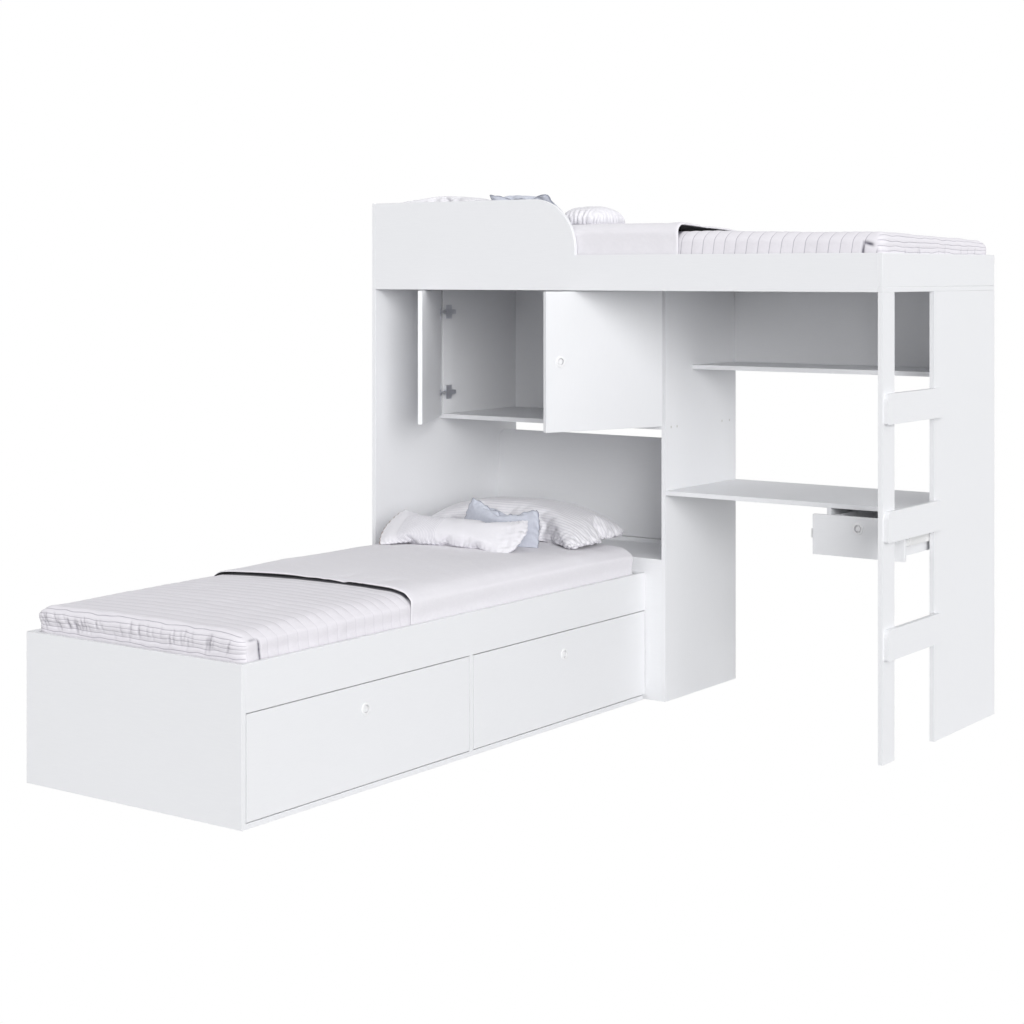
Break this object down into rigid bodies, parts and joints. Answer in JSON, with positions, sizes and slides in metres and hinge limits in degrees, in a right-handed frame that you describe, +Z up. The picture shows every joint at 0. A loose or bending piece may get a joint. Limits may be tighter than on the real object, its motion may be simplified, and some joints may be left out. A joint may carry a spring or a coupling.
{
  "type": "loft bed with desk",
  "caption": "Loft bed with guard rail, ladder, cabinet, shelf and desk, and a second bed with drawers at right angles below, both made up with bedding.",
  "frame": {"origin": "the middle of the whole footprint, on the floor", "axes": "+Z up; +X along the loft towards the ladder; +Y from the lower bed's foot towards the wall behind the loft"},
  "size_m": [1.93, 2.405, 1.6876],
  "materials": {
    "white_laminate": "white satin laminate on board",
    "drawer_laminate": "white matte laminate on thin board",
    "pine": "planed softwood",
    "pull_plastic": "white gloss",
    "hinge_metal": "nickel plated",
    "white_metal": "white baked enamel",
    "zinc_steel": "zinc plated",
    "mattress_cover": "quilted cotton",
    "quilt_cloth": "ribbed off-white cotton",
    "pale_cotton": "plain cotton",
    "grey_cotton": "blue grey cotton",
    "striped_cotton": "ribbed cotton"
  },
  "bodies": {
    "root": {"left_end_panel": "white_laminate", "divider_panel": "white_laminate", "right_rear_panel": "white_laminate", "ladder_post": "white_laminate", "ladder_rungs": "white_laminate", "front_guard_rail": "white_laminate", "loft_deck": "white_laminate", "back_rail": "white_laminate", "right_end_rail": "white_laminate", "cabinet_floor": "white_laminate", "cabinet_back_panel": "white_laminate", "hinge_strip": "white_laminate", "upper_shelf": "white_laminate", "shelf_back_panel": "white_laminate", "desk_top": "white_laminate", "niche_front_panel": "white_laminate", "niche_shelf": "white_laminate", "headboard_ledge": "white_laminate", "headboard_panel": "white_laminate", "desk_drawer_bracket": "white_laminate", "bed_foot_panel": "white_laminate", "bed_head_panel": "white_laminate", "bed_left_panel": "white_laminate", "bed_side_rail": "white_laminate", "bed_base_rail": "white_laminate", "bed_partition": "white_laminate", "panel_screws": "zinc_steel", "hinge_arms": "hinge_metal", "slide_channels": "white_metal", "bed_slats_and_cleats": "pine", "loft_mattress": "mattress_cover", "lower_mattress": "mattress_cover", "loft_quilt": "quilt_cloth", "lower_quilt": "quilt_cloth", "lower_long_pillow": "pale_cotton", "lower_square_pillow": "grey_cotton", "lower_big_pillow": "striped_cotton", "loft_striped_pillow": "striped_cotton", "loft_grey_pillow": "grey_cotton", "loft_white_pillow": "pale_cotton"},
    "left_door": {"left_door": "white_laminate", "left_door_hinge_cups": "hinge_metal", "left_door_pull": "pull_plastic"},
    "left_hinge_links": {"left_hinge_links": "hinge_metal"},
    "right_door": {"right_door": "white_laminate", "right_door_hinge_cups": "hinge_metal", "right_door_pull": "pull_plastic"},
    "right_hinge_links": {"right_hinge_links": "hinge_metal"},
    "desk_drawer": {"desk_drawer_front": "white_laminate", "desk_drawer_pull": "pull_plastic", "desk_drawer_box": "drawer_laminate", "desk_drawer_runners": "white_metal"},
    "foot_drawer": {"foot_drawer_front": "white_laminate", "foot_drawer_pull": "pull_plastic", "foot_drawer_box": "drawer_laminate", "foot_drawer_runners": "white_metal"},
    "head_drawer": {"head_drawer_front": "white_laminate", "head_drawer_pull": "pull_plastic", "head_drawer_box": "drawer_laminate", "head_drawer_runners": "white_metal"}
  },
  "joints": [
    {"name": "left_door_hinge", "type": "hinge", "parent": "root", "child": "left_door", "pos_m": [-0.948, 0.7145, 1.1385], "axis": [0, 0, -1], "range_deg": [-60, 25]},
    {"name": "right_door_hinge", "type": "hinge", "parent": "root", "child": "right_door", "pos_m": [-0.004, 0.7145, 1.1385], "axis": [0, 0, 1], "range_deg": [-70, 25]},
    {"name": "left_link_turn", "type": "hinge", "parent": "root", "child": "left_hinge_links", "pos_m": [-0.948, 0.7145, 1.1385], "axis": [0, 0, -1], "range_deg": [-30, 12.5]},
    {"name": "right_link_turn", "type": "hinge", "parent": "root", "child": "right_hinge_links", "pos_m": [-0.004, 0.7145, 1.1385], "axis": [0, 0, 1], "range_deg": [-35, 12.5]},
    {"name": "desk_drawer_slide", "type": "slide", "parent": "root", "child": "desk_drawer", "axis": [0, -1, 0], "range_m": [-0.152, 0.148]},
    {"name": "foot_drawer_slide", "type": "slide", "parent": "root", "child": "foot_drawer", "axis": [1, 0, 0], "range_m": [0, 0.38]},
    {"name": "head_drawer_slide", "type": "slide", "parent": "root", "child": "head_drawer", "axis": [1, 0, 0], "range_m": [0, 0.38]}
  ],
  "couplings": [
    {"joint": "left_link_turn", "follows": "left_door_hinge", "ratio": 0.5},
    {"joint": "right_link_turn", "follows": "right_door_hinge", "ratio": 0.5}
  ]
}
